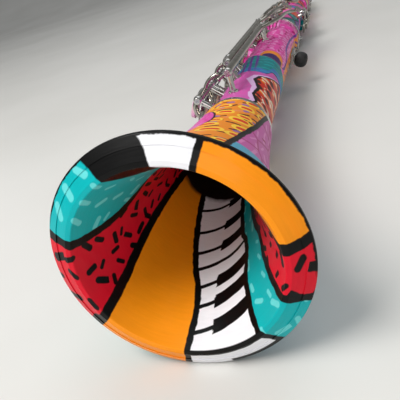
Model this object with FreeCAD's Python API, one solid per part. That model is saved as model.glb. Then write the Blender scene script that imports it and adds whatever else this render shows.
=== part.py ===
import FreeCAD, Part
import math
import os

# A soprano clarinet lying on its side, with the bell towards -Y.
#
# It is drawn upright in an instrument frame, in millimetres: +Z runs up the bore from the bell's
# mouth, +X is the front (the finger holes) and +Y is the player's left.  An angle round the body
# is counted from the front towards the player's left.  lay_down() turns it into the row frame,
# where +Y runs up the bore, +Z is up and the finger holes face -X, tipped up a little.

Vec = FreeCAD.Vector
BORE_AXIS = Vec(0, 0, 1)

# ---------------------------------------------------------------- driving dimensions
front_tip_up = 22.0         # how far the finger holes are turned up from -X, in degrees

bell_length = 110.0
lower_length = 236.0
upper_length = 190.0
barrel_length = 66.0
mouthpiece_length = 72.0

rim_radius = 39.5           # outside of the bell's rim
rim_setback = 3.3           # the outer edge lies this far behind the lip
lip_radius = 31.3           # inner edge of the lip
lip_land = 1.6              # flat front land of the lip
lip_round = 0.4
rim_ring_width = 2.9
rim_ring_depth = 5.2
rim_ring_proud = 0.25
rim_edge = 1.1              # how deep the rim is at its full radius
rim_edge_round = 0.45
rim_back_radius = 37.0      # where the rim ring hands over to the bell's outside
throat_radius = 11.6        # bell bore where the tenon ends
bell_neck_radius = 16.75    # the bell's outside where its socket ring starts
bell_ring_seat = 15.7
ring_band = 3.4             # length of the bell's and the middle socket's rings
barrel_ring_band = 7.0
ring_wall = 1.0
ring_round = 0.4

# The bell's walls: the share of the way from the rim to the neck, and of the radius that is left.
outside_flare = (
    (0.076, 0.793), (0.194, 0.536), (0.280, 0.427), (0.357, 0.348), (0.443, 0.269),
    (0.550, 0.185), (0.678, 0.111), (0.800, 0.062), (0.902, 0.025),
)
inside_flare = ((0.157, 0.690), (0.371, 0.416), (0.584, 0.218), (0.798, 0.081))

bore_radius = 7.4
lower_bore_mouth = 11.2     # the lower joint's bore at its bottom end
bore_flare_start = 140.0    # height above the lower joint's bottom end where the flare starts
lower_bottom_radius = 15.0
lower_top_radius = 14.2
collar_radius = 15.9        # wooden collar under the middle ring
collar_length = 21.0
upper_bottom_radius = 14.0
upper_top_radius = 13.5
barrel_end_radius = 15.6
barrel_waist_radius = 15.0

tenon_clearance = 0.15
cork_wall = 1.0
bell_tenon_radius = 13.3
bell_tenon_length = 21.0
middle_tenon_radius = 11.6
middle_tenon_length = 18.0
barrel_tenon_radius = 11.5
barrel_tenon_length = 15.5
mouthpiece_tenon_radius = 11.2
mouthpiece_tenon_length = 15.5

pad_seat_height = 1.0       # padded tone hole rim above the body
finger_seat_height = 2.4    # finger hole rim above the body
rim_wall = 1.4              # wall of a raised tone hole rim
pad_overlap = 1.1           # how far a pad covers the rim past its outer edge
pad_thickness = 2.8
pad_gap = 0.03
cup_wall = 0.7
cup_depth = 1.7
cup_dome = 1.2
ring_clear = 0.45           # finger ring round its tone hole rim
ring_width = 1.7
ring_height = 1.8
ring_proud = 0.2
ring_join = 0.12            # an arm's end stands this far out from the inside of its ring

rod_radius = 1.0
rod_clearance = 0.05
rod_head = 0.3              # a rod's head stands this far out of its post
rod_slot = 0.4
tube_radius = 2.0
tube_end_gap = 0.12
post_radius = 1.5
post_ball = 2.35
post_flat = 1.9             # half the length of a post's ball between its flats
post_root = 3.0             # how deep a post is screwed into the wood
post_foot_radius = 2.5
post_foot_height = 0.7
arm_radius = 1.35
arm_end = 1.12              # the ball at an arm's end, as a share of the arm's radius
touch_thickness = 1.7
lever_half_width = 3.6      # half the distance between a cross lever's two posts

hinge_height = 5.9          # hinge axis above the wood for the ring keys
low_hinge_height = 9.0      # and for the little finger keys
long_lever_height = 10.2    # and for the left hand's long levers

ring_hinge_angle = -48.0
low_hinge_angle = 18.0
low_cup_angle = -14.0       # the two lowest tone holes
lever_turns = (46.0, 31.0, 18.0)    # the long levers' hinges, past the little finger keys' hinge line
link_turns = (24.0, 17.0, 9.0)      # where each long lever's finger lifts its key's tail
lever_touch_angles = (111.0, 86.0, 66.0)

low_touch_radius = lower_bottom_radius + 10.6
tail_rise = 3.0             # a key's tail above its hinge axis, where the long lever's finger lifts it
tail_radius = 1.0
tail_play = 2.6             # between the middles of a tail and the finger under it
bridge_radius = 1.2         # the arms that meet over the middle joint
low_opening = 12.0          # how far the open keys stand from shut, in degrees
ring_opening = 9.0

spring_radius = 0.35
spring_drop = 3.0           # needle spring below its hinge axis
spring_length = 14.0

mouthpiece_radius = 13.9        # at the shoulder over the tenon
mouthpiece_high_radius = 12.4   # where the beak starts
mouthpiece_narrow_radius = 10.6
table_depth = 9.0               # the reed's flat table, from the bore's axis
window_width = 10.4
reed_width = 13.0
reed_thickness = 2.8
tip_thickness = 1.0
beak_start = 34.0               # above the mouthpiece's shoulder
reed_start = 6.0
ligature_low = 11.0
ligature_height = 19.0
ligature_wall = 0.6
ligature_play = 0.1
ligature_screw_inset = 5.0      # from the band's edges
lug_reach = 4.6
lug_half_gap = 1.2
lug_half_width = 3.4
lug_height = 5.0

thumb_rest_height = 168.0       # above the lower joint's bottom end
thumb_rest_width = 10.0
thumb_rest_plate = 1.5
thumb_rest_gap = 0.35           # between the curved plate and the wood
thumb_rest_reach = 10.4
thumb_rest_below, thumb_rest_above = 13.0, 15.0
hook_thickness = 2.0
hook_corner = 3.6
cushion_wall = 4.0
cushion_side_wall = 1.2
cushion_round = 4.3

# heights of the joints' ends up the bore
lower_base = bell_length
upper_base = lower_base + lower_length
barrel_base = upper_base + upper_length
mouthpiece_base = barrel_base + barrel_length
tip = mouthpiece_base + mouthpiece_length


# ---------------------------------------------------------------- small geometry helpers
def radians(degrees):
    return math.radians(degrees)


def outward(angle):
    """Unit vector pointing out of the body at an angle round it."""
    return Vec(math.cos(radians(angle)), math.sin(radians(angle)), 0)


def sideways(angle):
    """Unit vector round the body at an angle, towards larger angles."""
    return Vec(-math.sin(radians(angle)), math.cos(radians(angle)), 0)


def spot(angle, radius, height):
    """A point at a radius from the bore's axis and a height up the bore."""
    return outward(angle) * radius + BORE_AXIS * height


def body_radius(height):
    """Outside of the wood at a height up the bore."""
    if height < upper_base:
        share = (height - lower_base) / lower_length
        return lower_bottom_radius + (lower_top_radius - lower_bottom_radius) * share
    share = (height - upper_base) / upper_length
    return upper_bottom_radius + (upper_top_radius - upper_bottom_radius) * share


def line(a, b):
    return Part.makeLine(Vec(a[0], 0, a[1]), Vec(b[0], 0, b[1]))


def smooth(points):
    """A smooth curve through (radius, height) points in the plane that is turned round the bore."""
    curve = Part.BSplineCurve()
    curve.interpolate([Vec(r, 0, z) for r, z in points])
    return curve.toShape()


def turned(edges):
    """The solid made by turning a closed outline round the bore."""
    face = Part.Face(Part.Wire(edges))
    return face.revolve(Vec(0, 0, 0), BORE_AXIS, 360)


def tube_of(inner, outer, low, high):
    """A plain round tube along the bore."""
    outside = Part.makeCylinder(outer, high - low, Vec(0, 0, low))
    return outside.cut(Part.makeCylinder(inner, high - low, Vec(0, 0, low)))


def polygon_turned(points):
    """A solid turned from straight lines through (radius, height) points."""
    closed = points + points[:1]
    return turned([line(a, b) for a, b in zip(closed, closed[1:])])


def radial_cylinder(angle, height, start, end, radius):
    return Part.makeCylinder(radius, end - start, spot(angle, start, height), outward(angle))


def joined(shapes):
    """One solid from shapes that overlap."""
    whole = shapes[0]
    for shape in shapes[1:]:
        whole = whole.fuse(shape)
    return whole.Solids[0] if len(whole.Solids) == 1 else whole


def rounded_edges(shape, radius, wanted):
    """Rounds the edges for which wanted(edge) is true."""
    return shape.makeFillet(radius, [e for e in shape.Edges if wanted(e)])


def is_circle(edge, radius, height):
    """True for a circle round the bore of that radius at that height."""
    curve = edge.Curve
    return (
        isinstance(curve, Part.Circle)
        and abs(curve.Radius - radius) < 1e-4
        and abs(curve.Center.z - height) < 1e-4
    )


def lay_down(shape):
    """Turns a shape from the instrument frame into the row frame."""
    placed = shape.copy()
    placed.transformShape(row_matrix(), True)
    return placed


def row_vector(v):
    """A vector of the instrument frame, in the row frame."""
    c, s = math.cos(radians(front_tip_up)), math.sin(radians(front_tip_up))
    return Vec(-c * v.x + s * v.y, v.z, s * v.x + c * v.y)


def row_matrix():
    m = FreeCAD.Matrix()
    columns = [row_vector(Vec(1, 0, 0)), row_vector(Vec(0, 1, 0)), row_vector(Vec(0, 0, 1))]
    m.A11, m.A21, m.A31 = columns[0]
    m.A12, m.A22, m.A32 = columns[1]
    m.A13, m.A23, m.A33 = columns[2]
    return m


# ---------------------------------------------------------------- tone holes
class Hole:
    """A tone hole with a raised rim: where it is, how wide, and whether a finger or a pad shuts it."""

    def __init__(self, height, angle, radius, finger=False):
        self.height, self.angle, self.radius, self.finger = height, angle, radius, finger
        self.rim_radius = radius + rim_wall
        rise = finger_seat_height if finger else pad_seat_height
        self.seat = body_radius(height) + rise
        self.pad_radius = self.rim_radius + pad_overlap

    def rim(self):
        return radial_cylinder(self.angle, self.height, bore_radius + 3, self.seat, self.rim_radius)

    def drill(self):
        return radial_cylinder(self.angle, self.height, 0, self.seat + 5, self.radius)


def low(height):
    return lower_base + height


def up(height):
    return upper_base + height


holes = {
    "low_e": Hole(low(21), low_cup_angle, 6.0),
    "low_f": Hole(low(52), low_cup_angle, 5.8),
    "f_sharp": Hole(low(92), low_cup_angle + 2, 5.2),
    "a_flat": Hole(low(119), 0, 4.9),
    "right_third": Hole(low(152), 0, 4.2, finger=True),
    "right_fork": Hole(low(165), 48, 3.1),
    "right_second": Hole(low(178), 0, 4.0, finger=True),
    "right_ring": Hole(low(191), -2, 2.6),
    "right_first": Hole(low(204), 0, 3.9, finger=True),
    "c_sharp": Hole(up(14), 28, 3.6),
    "left_third": Hole(up(30), 0, 3.7, finger=True),
    "left_ring": Hole(up(17), -22, 2.4),
    "left_fork": Hole(up(45), 54, 2.9),
    "left_second": Hole(up(60), 0, 3.6, finger=True),
    "first_ring": Hole(up(76), -2, 2.4),
    "left_first": Hole(up(91), 0, 3.4, finger=True),
    "thumb": Hole(up(84), 180, 3.6, finger=True),
    "thumb_ring": Hole(up(97.5), 180, 2.3),
    "throat_a": Hole(up(141), 8, 3.2),
    "g_sharp": Hole(up(132), 86, 3.0),
    "register": Hole(up(157), 180, 1.6),
    "trill_1": Hole(up(160), -66, 2.7),
    "trill_2": Hole(up(171), -89, 2.7),
    "trill_3": Hole(up(134), -112, 2.8),
    "trill_4": Hole(up(117), -135, 2.8),
}


# ---------------------------------------------------------------- key pieces
def round_arm(points, radius=arm_radius):
    """A round arm through (angle, radius, height) points, with ball ends."""
    places = [spot(*p) for p in points]
    if len(places) == 2:
        path = Part.makeLine(*places)
    else:
        curve = Part.BSplineCurve()
        curve.interpolate(places)
        path = curve.toShape()
    start = path.valueAt(path.FirstParameter)
    heading = path.tangentAt(path.FirstParameter)
    section = Part.Wire([Part.makeCircle(radius, start, heading)])
    bar = Part.Wire([path]).makePipeShell([section], True, False)
    return joined([bar] + [Part.makeSphere(radius * arm_end, places[n]) for n in (0, -1)])


def turned_on_hole(hole, outline):
    """A solid turned round a tone hole's axis from (height over the seat, radius) points."""
    out, along = outward(hole.angle), BORE_AXIS
    base = spot(hole.angle, hole.seat, hole.height)
    points = [base + out * rise + along * radius for rise, radius in outline]
    wire = Part.makePolygon(points + points[:1])
    return Part.Face(wire).revolve(base, out, 360)


def pad_on(hole):
    """A skin-covered felt pad, shut on its tone hole, with a rolled lower edge."""
    roll = 0.45
    r = hole.pad_radius
    return turned_on_hole(hole, [
        (pad_gap, 0), (pad_gap, r - roll), (pad_gap + roll, r),
        (pad_gap + pad_thickness, r), (pad_gap + pad_thickness, 0),
    ])


def cup_top(hole):
    """Radius from the bore's axis to the top of a shut key's cup."""
    return hole.seat + pad_gap + pad_thickness + cup_wall + cup_dome


def cup_on(hole):
    """A domed cup that holds the pad."""
    inside, outside = hole.pad_radius, hole.pad_radius + cup_wall
    ceiling = pad_gap + pad_thickness
    lip = ceiling - cup_depth
    crown = ceiling + cup_wall + cup_dome
    return turned_on_hole(hole, [
        (lip, inside), (lip, outside), (ceiling + 0.1, outside),
        (ceiling + cup_wall, outside * 0.88), (crown - cup_dome * 0.3, outside * 0.55),
        (crown, outside * 0.15), (crown, 0), (ceiling, 0), (ceiling, inside),
    ])


def ring_on(hole):
    """A finger ring that lies round its tone hole's rim, flush with it when it is pressed."""
    inside = hole.rim_radius + ring_clear
    outside = inside + ring_width
    top, edge = ring_proud, 0.4
    bottom = top - ring_height
    return turned_on_hole(hole, [
        (bottom, inside), (bottom, outside), (top - edge, outside),
        (top, outside - edge), (top, inside + edge), (top - edge, inside),
    ])


def ring_edge(hole, hinge_angle):
    """Where an arm from the hinge side meets a finger ring: (angle, radius, height)."""
    reach = hole.rim_radius + ring_clear + arm_radius * arm_end + ring_join
    side = 1 if hinge_angle > hole.angle else -1
    radius = hole.seat + ring_proud - ring_height * 0.5
    turn = math.degrees(math.atan2(reach, radius)) * side
    return hole.angle + turn, math.hypot(radius, reach), hole.height


def paddle(angle, radius, height, width, length, lean=0.0, corner=0.32):
    """A touch piece that follows the body's curve: a rounded outline cut from a thin round shell."""
    out, side = outward(angle), sideways(angle)
    centre = spot(angle, 0, height)
    half = [(-0.5, -0.5), (0.5, -0.5), (0.5 - lean, 0.5), (-0.5 + lean, 0.5)]
    points = [centre + side * (width * u) + BORE_AXIS * (length * v) for u, v in half]
    block = Part.Face(Part.makePolygon(points + points[:1])).extrude(out * (radius + 20))
    rounding = corner * min(width, length) * (1 - 2 * abs(lean))
    block = rounded_edges(
        block, rounding, lambda e: abs(e.tangentAt(e.FirstParameter).dot(out)) > 0.99
    )
    shell = tube_of(radius, radius + touch_thickness, height - length, height + length)
    return shell.common(block).Solids[0]


class Key:
    """A key built shut on its tone holes, then turned to how it stands at rest."""

    def __init__(self, name, hinge, axis, shut_turn, travel):
        self.name, self.hinge, self.axis = name, hinge, axis
        self.shut_turn = shut_turn      # degrees about the axis from rest to shut; 0 if it rests shut
        self.travel = travel            # degrees about the axis from rest to fully moved
        self.metal, self.pads = [], []

    def add(self, *shapes):
        self.metal.extend(shapes)
        return self

    def cover(self, hole):
        self.metal.append(cup_on(hole))
        self.pads.append(pad_on(hole))
        return self

    def at_rest(self, shape):
        rested = shape.copy()
        rested.rotate(self.hinge, self.axis, -self.shut_turn)
        return rested


posts = {"lower": [], "upper": []}
rods = []
keys = []


def joint_of(height):
    return "lower" if height < upper_base - 2 else "upper"


def add_post(hinge_angle, hinge_radius, height, offset=0.0, cross=False):
    """A ball-headed post for a hinge; offset moves it sideways, for a cross lever's pair."""
    out, side = outward(hinge_angle), sideways(hinge_angle)
    wood = math.sqrt(body_radius(height) ** 2 - offset ** 2)
    foot = out * wood + side * offset + BORE_AXIS * height
    rod_way = side if cross else BORE_AXIS
    centre = out * hinge_radius + side * offset + BORE_AXIS * height
    flats = Part.makeCylinder(post_ball * 2, 2 * post_flat, centre - rod_way * post_flat, rod_way)
    ball = Part.makeSphere(post_ball, centre).common(flats)
    shank = Part.makeCylinder(post_radius, hinge_radius - wood + post_root, foot - out * post_root, out)
    # the foot reaches just under the wood's curve, so that it meets the wood all round
    sink = body_radius(height) - math.sqrt(body_radius(height) ** 2 - post_foot_radius ** 2)
    base = Part.makeCylinder(post_foot_radius, post_foot_height + sink, foot - out * sink, out)
    bore = Part.makeCylinder(rod_radius, 4 * post_ball, centre - rod_way * 2 * post_ball, rod_way)
    posts[joint_of(height)].append(joined([shank, base, ball]).cut(bore))


def add_rod(start, end, way):
    """A hinge rod with a slot in its head, through two posts and the key between them."""
    first, last = start - way * (post_flat + rod_head), end + way * (post_flat + rod_head)
    rod = Part.makeCylinder(rod_radius, (last - first).Length, first, way)
    slot = Part.makeBox(rod_slot, 4 * rod_radius, 2 * rod_head)
    slot.translate(Vec(-rod_slot / 2, -2 * rod_radius, -rod_head))
    slot.Placement = FreeCAD.Placement(first, FreeCAD.Rotation(BORE_AXIS, way)).multiply(slot.Placement)
    rods.append(rod.cut(slot))


def long_key(name, angle, rise, bottom, top, opening, rests_open):
    """A key on a rod along the body. opening is its travel in degrees, and is positive where
    the side at larger angles moves in as the key is pressed."""
    middle = (bottom + top) / 2
    radius = body_radius(middle) + rise
    hinge = spot(angle, radius, bottom)
    key = Key(name, hinge, BORE_AXIS, opening if rests_open else 0, opening)
    key.angle, key.radius = angle, radius
    low_post = bottom - post_flat - tube_end_gap
    high_post = top + post_flat + tube_end_gap
    key.low_post, key.top_post, key.spring_from_top = low_post, high_post, False
    key.add(Part.makeCylinder(tube_radius, top - bottom, spot(angle, radius, bottom)))
    key.bore = Part.makeCylinder(
        rod_radius + rod_clearance, top - bottom + 2, spot(angle, radius, bottom - 1)
    )
    for height in (low_post, high_post):
        add_post(angle, radius, height)
    add_rod(spot(angle, radius, low_post), spot(angle, radius, high_post), BORE_AXIS)
    keys.append(key)
    return key


def cross_key(name, angle, rise, height, opening):
    """A see-saw lever along the body, on a short rod across it."""
    radius = body_radius(height) + rise
    side = sideways(angle)
    hinge = spot(angle, radius, height)
    key = Key(name, hinge, side, 0, opening)
    key.angle, key.radius = angle, radius
    half = lever_half_width - post_flat - tube_end_gap
    key.add(Part.makeCylinder(tube_radius, 2 * half, hinge - side * half, side))
    key.bore = Part.makeCylinder(rod_radius + rod_clearance, 2 * half + 2, hinge - side * (half + 1), side)
    for offset in (-lever_half_width, lever_half_width):
        add_post(angle, radius, height, offset, cross=True)
    add_rod(hinge - side * lever_half_width, hinge + side * lever_half_width, side)
    keys.append(key)
    return key


def cup_arm(key, hole, height=None):
    """An arm from the key's tube to the top of its cup."""
    height = hole.height if height is None else height
    top = cup_top(hole) - cup_dome
    middle = (key.angle + hole.angle) / 2
    crest = max(key.radius, top) + 0.4
    return round_arm([
        (key.angle, key.radius, height), (middle, crest, (height + hole.height) / 2),
        (hole.angle, top, hole.height),
    ])


def ring_arm(key, hole):
    """An arm from the key's tube to its finger ring."""
    end = ring_edge(hole, key.angle)
    middle = (key.angle + end[0]) / 2
    return round_arm([
        (key.angle, key.radius, hole.height), (middle, (key.radius + end[1]) / 2, hole.height), end,
    ])


def touch_arm(key, start_height, angle, radius, height):
    """An arm that follows the body round from the key's tube to a touch piece."""
    inner = radius - arm_radius * 0.4
    rise = max(inner, key.radius) + 0.3
    span = angle - key.angle
    drift = height - start_height
    return round_arm([
        (key.angle, key.radius, start_height),
        (key.angle + span * 0.3, rise, start_height + drift * 0.1),
        (key.angle + span * 0.65, rise, start_height + drift * 0.5),
        (angle, inner, height),
    ])


# ---------------------------------------------------------------- the keys of the lower joint
def little_finger_keys():
    """The right little finger's keys, on one hinge line, except A flat, which is on the right."""
    low_e = long_key("low_e_key", low_hinge_angle, low_hinge_height, low(13.5), low(34), -low_opening, True)
    low_e.cover(holes["low_e"])
    low_e.add(
        cup_arm(low_e, holes["low_e"]),
        touch_arm(low_e, low(32), -6, low_touch_radius, low(36)),
        paddle(-11, low_touch_radius, low(36.5), 13, 13, 0.1),
        tail(low_e, low(27), low_hinge_angle + link_turns[0]),
    )
    low_f = long_key("low_f_key", low_hinge_angle, low_hinge_height, low(43.5), low(62), -low_opening, True)
    low_f.cover(holes["low_f"])
    low_f.add(
        cup_arm(low_f, holes["low_f"]),
        touch_arm(low_f, low(60), -34, low_touch_radius, low(60)),
        paddle(-36, low_touch_radius, low(58), 11, 15, -0.06),
        tail(low_f, low(56), low_hinge_angle + link_turns[1]),
    )
    f_sharp = long_key("f_sharp_key", low_hinge_angle, low_hinge_height, low(71.5), low(98), -low_opening, True)
    f_sharp.cover(holes["f_sharp"])
    f_sharp.add(
        cup_arm(f_sharp, holes["f_sharp"]),
        touch_arm(f_sharp, low(74), -35, low_touch_radius, low(77)),
        paddle(-37, low_touch_radius, low(78), 11, 15, 0.08),
        tail(f_sharp, low(84), low_hinge_angle + link_turns[2]),
    )
    a_flat = long_key("a_flat_key", -46, hinge_height, low(88), low(130), -11.0, False)
    a_flat.cover(holes["a_flat"])
    a_flat.add(
        cup_arm(a_flat, holes["a_flat"]),
        touch_arm(a_flat, low(90), -64, low_touch_radius - 1.5, low(82)),
        paddle(-67, low_touch_radius - 1.5, low(77), 11, 15, 0.08),
    )
    return low_e, low_f, f_sharp


def tail(key, height, end_angle):
    """A tail behind the hinge, which the left hand's lever lifts to shut the key."""
    span = end_angle - key.angle
    return round_arm([
        (key.angle, key.radius, height), (key.angle + span * 0.45, key.radius + tail_rise * 0.8, height),
        (end_angle, key.radius + tail_rise, height),
    ], tail_radius)


def right_ring_key():
    key = long_key("right_ring_key", ring_hinge_angle, hinge_height, low(147), low(210), ring_opening, True)
    key.cover(holes["right_ring"])
    key.add(cup_arm(key, holes["right_ring"]))
    for name in ("right_first", "right_second", "right_third"):
        key.add(ring_on(holes[name]), ring_arm(key, holes[name]))
    high = key.radius + 4.6
    key.add(round_arm([
        (key.angle, key.radius, low(206)), (key.angle + 10, key.radius + 1.6, low(210)),
        (key.angle + 12, high, low(220)), (key.angle + 12, high, upper_base + 1.5),
    ], bridge_radius))


def right_fork_key():
    hole = holes["right_fork"]
    key = long_key("right_fork_key", 24, 4.9, hole.height - 3.2, hole.height + 3.2, -10.0, False)
    key.cover(hole)
    key.add(cup_arm(key, hole), fork_touch(key, hole))


def fork_touch(key, hole):
    """The narrow touch piece between two finger rings."""
    radius = key.radius + 0.4
    return joined([
        round_arm([(key.angle, key.radius, hole.height), (4, radius + 0.8, hole.height)], 1.1),
        paddle(-3, radius, hole.height, 11.5, 3.6),
    ])


def long_lever(name, moved, place, low_end, top, link_height):
    """One of the left little finger's long levers: a tube up the joint with a touch piece at its
    top end and a finger at its lower end that lifts the tail of the key that it moves."""
    angle = low_hinge_angle + lever_turns[place]
    link_angle = low_hinge_angle + link_turns[place]
    touch_angle = lever_touch_angles[place]
    key = long_key(name, angle, long_lever_height, low_end, top, low_opening, False)
    key.spring_from_top = True
    reach = upper_base + 6
    outer = key.radius + 1.4
    bend = angle + 11
    tail_arm = moved.radius * math.sin(radians(link_turns[place]))
    under = moved.radius + tail_rise - tail_arm * math.sin(radians(low_opening)) - tail_play
    key.add(
        round_arm([
            (angle, key.radius, top - 7), (bend, key.radius + 0.4, top),
            ((bend + touch_angle) / 2, outer, (top + reach) / 2), (touch_angle, outer, reach),
        ]),
        paddle(touch_angle, outer - 0.2, reach + 2, 5.6, 15, 0.1),
        round_arm([
            (angle, key.radius, link_height),
            (angle + (link_angle - angle) * 0.5, (key.radius + under) / 2 - 0.6, link_height),
            (link_angle, under, link_height),
        ], tail_radius),
    )


def left_little_finger_levers(low_e, low_f, f_sharp):
    long_lever("left_low_e_lever", low_e, 0, low(18), low(150), low(27))
    long_lever("left_low_f_lever", low_f, 1, low(50), low(192), low(56))
    long_lever("left_f_sharp_lever", f_sharp, 2, low(77), low(212), low(84))


# ---------------------------------------------------------------- the keys of the upper joint
def left_ring_keys():
    first = long_key("first_ring_key", ring_hinge_angle, hinge_height, up(70), up(97), ring_opening, True)
    first.cover(holes["first_ring"])
    first.add(
        cup_arm(first, holes["first_ring"]), ring_on(holes["left_first"]), ring_arm(first, holes["left_first"])
    )
    third = long_key("third_ring_key", ring_hinge_angle, hinge_height, up(9), up(36), ring_opening, True)
    third.cover(holes["left_ring"])
    high = third.radius + 1.6
    third.add(
        cup_arm(third, holes["left_ring"]), ring_on(holes["left_third"]), ring_arm(third, holes["left_third"]),
        round_arm([
            (third.angle, third.radius, up(11)), (third.angle + 8, high - 0.6, up(9)),
            (third.angle + 12, high, up(5)), (third.angle + 12, high, up(-1.5)),
        ], bridge_radius),
    )


def thumb_ring_key():
    key = long_key("thumb_ring_key", 138, hinge_height - 1.0, up(80), up(101), ring_opening, True)
    key.cover(holes["thumb_ring"])
    key.add(cup_arm(key, holes["thumb_ring"]), ring_on(holes["thumb"]), ring_arm(key, holes["thumb"]))


def left_side_keys():
    """C sharp and the left fork key, which stand shut."""
    c_sharp = long_key("c_sharp_key", 56, hinge_height, up(8), up(30), 11.0, False)
    c_sharp.cover(holes["c_sharp"])
    touch_radius = c_sharp.radius + 2.6
    c_sharp.add(
        cup_arm(c_sharp, holes["c_sharp"]),
        touch_arm(c_sharp, up(27), 82, touch_radius, up(26)),
        paddle(85, touch_radius, up(25.5), 12, 11, 0.08),
    )
    hole = holes["left_fork"]
    fork = long_key("left_fork_key", 28, 4.9, hole.height - 3.0, hole.height + 3.0, -10.0, False)
    fork.cover(hole)
    fork.add(cup_arm(fork, hole), fork_touch(fork, hole))
    g_sharp = long_key("g_sharp_key", 60, hinge_height, up(108), up(137), -11.0, False)
    g_sharp.cover(holes["g_sharp"])
    g_sharp.add(
        cup_arm(g_sharp, holes["g_sharp"]),
        touch_arm(g_sharp, up(111), 37, g_sharp.radius + 0.6, up(108)),
        paddle(35, g_sharp.radius + 0.6, up(105), 7, 13, -0.1),
    )


def see_saw(name, hole, rise, pivot, touch_height, touch_length, touch_width, opening):
    """A cross lever from a cup at one end to a touch piece at the other."""
    key = cross_key(name, hole.angle, rise, pivot, opening)
    key.cover(hole)
    end = key.radius + 0.6
    near = touch_height + math.copysign(touch_length * 0.4, pivot - touch_height)
    key.add(
        round_arm([
            (hole.angle, cup_top(hole) - cup_dome, hole.height),
            (hole.angle, key.radius + 0.3, (hole.height + pivot) / 2),
            (hole.angle, key.radius + 0.2, pivot),
            (hole.angle, end + 0.5, (pivot + near) / 2), (hole.angle, end + 0.6, near),
        ]),
        paddle(hole.angle, end, touch_height, touch_width, touch_length, 0.08),
    )
    return key


def cross_keys():
    see_saw("register_key", holes["register"], 5.4, up(134), up(112), 15, 8.5, 9.0)
    see_saw("throat_a_key", holes["throat_a"], 5.4, up(126), up(109), 13, 8, 9.0)
    see_saw("trill_key_1", holes["trill_1"], 5.6, up(112), up(52), 30, 6.4, 3.2)
    see_saw("trill_key_2", holes["trill_2"], 5.6, up(122), up(52), 30, 6.4, 3.0)
    see_saw("trill_key_3", holes["trill_3"], 5.6, up(96), up(46), 30, 6.4, 3.8)
    see_saw("trill_key_4", holes["trill_4"], 5.6, up(75), up(46), 30, 6.4, 3.4)


# ---------------------------------------------------------------- the wooden joints
def bell_rim_front(radius):
    """Height of the sloping front of the rim at a radius."""
    run = rim_radius - lip_radius - lip_land
    return rim_setback * (radius - lip_radius - lip_land) / run


def rim_ring_inner():
    return rim_radius - rim_ring_width


def flare(shares, wide, narrow, start, end):
    """A smooth bell wall from (wide, start) to (narrow, end) through shares of the way between them."""
    between = [(narrow + (wide - narrow) * left, start + (end - start) * way) for way, left in shares]
    return smooth([(wide, start)] + between + [(narrow, end)])


def bell():
    ring_in = rim_ring_inner()
    ring_back = rim_setback + rim_ring_depth
    socket_floor = bell_length - bell_tenon_length
    socket = bell_tenon_radius + tenon_clearance
    neck_top = bell_length - ring_band
    outside = flare(outside_flare, rim_back_radius, bell_neck_radius, ring_back, neck_top)
    inside = flare(inside_flare, lip_radius, throat_radius, 0, socket_floor)
    wood = turned([
        line((lip_radius, 0), (lip_radius + lip_land, 0)),
        line((lip_radius + lip_land, 0), (ring_in, bell_rim_front(ring_in))),
        line((ring_in, bell_rim_front(ring_in)), (ring_in, ring_back)),
        line((ring_in, ring_back), (rim_back_radius, ring_back)),
        outside,
        line((bell_neck_radius, neck_top), (bell_ring_seat, neck_top)),
        line((bell_ring_seat, neck_top), (bell_ring_seat, bell_length)),
        line((bell_ring_seat, bell_length), (socket, bell_length)),
        line((socket, bell_length), (socket, socket_floor)),
        line((socket, socket_floor), (throat_radius, socket_floor)),
        inside,
    ])
    return rounded_edges(
        wood, lip_round,
        lambda e: is_circle(e, lip_radius, 0) or is_circle(e, lip_radius + lip_land, 0),
    )


def bell_rim_ring():
    ring_in = rim_ring_inner()
    ring_back = rim_setback + rim_ring_depth
    front_in = bell_rim_front(ring_in) - rim_ring_proud
    ring = polygon_turned([
        (ring_in, front_in), (rim_radius, rim_setback), (rim_radius, rim_setback + rim_edge),
        (rim_back_radius, ring_back), (ring_in, ring_back),
    ])
    return rounded_edges(
        ring, rim_edge_round,
        lambda e: is_circle(e, rim_radius, rim_setback) or is_circle(e, rim_radius, rim_setback + rim_edge),
    )


def socket_ring(inside, low_end, high_end):
    """A plated ring round a socket, with its edges rounded."""
    outside = inside + ring_wall
    ring = tube_of(inside, outside, low_end, high_end)
    return rounded_edges(
        ring, ring_round, lambda e: is_circle(e, outside, low_end) or is_circle(e, outside, high_end)
    )


def cork(tenon, start, length):
    """A sheet of cork round a tenon, that fills its socket."""
    return tube_of(tenon - cork_wall, tenon + tenon_clearance, start, start + length)


def cork_groove(tenon, start, length):
    return tube_of(tenon - cork_wall, tenon + 1, start, start + length)


cork_places = {
    "bell": (bell_tenon_radius, lower_base - bell_tenon_length + 4, bell_tenon_length - 9),
    "middle": (middle_tenon_radius, upper_base - middle_tenon_length + 4, middle_tenon_length - 8),
    "barrel": (barrel_tenon_radius, barrel_base + 4, barrel_tenon_length - 7),
    "mouthpiece": (
        mouthpiece_tenon_radius, mouthpiece_base - mouthpiece_tenon_length + 3, mouthpiece_tenon_length - 7
    ),
}


def with_tone_holes(wood, joint):
    """Adds the raised rims, cuts the tone holes, and seats the posts."""
    mine = [h for h in holes.values() if joint_of(h.height) == joint]
    wood = wood.fuse([h.rim() for h in mine])
    wood = wood.cut([h.drill() for h in mine])
    return wood.cut(posts[joint])


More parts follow.
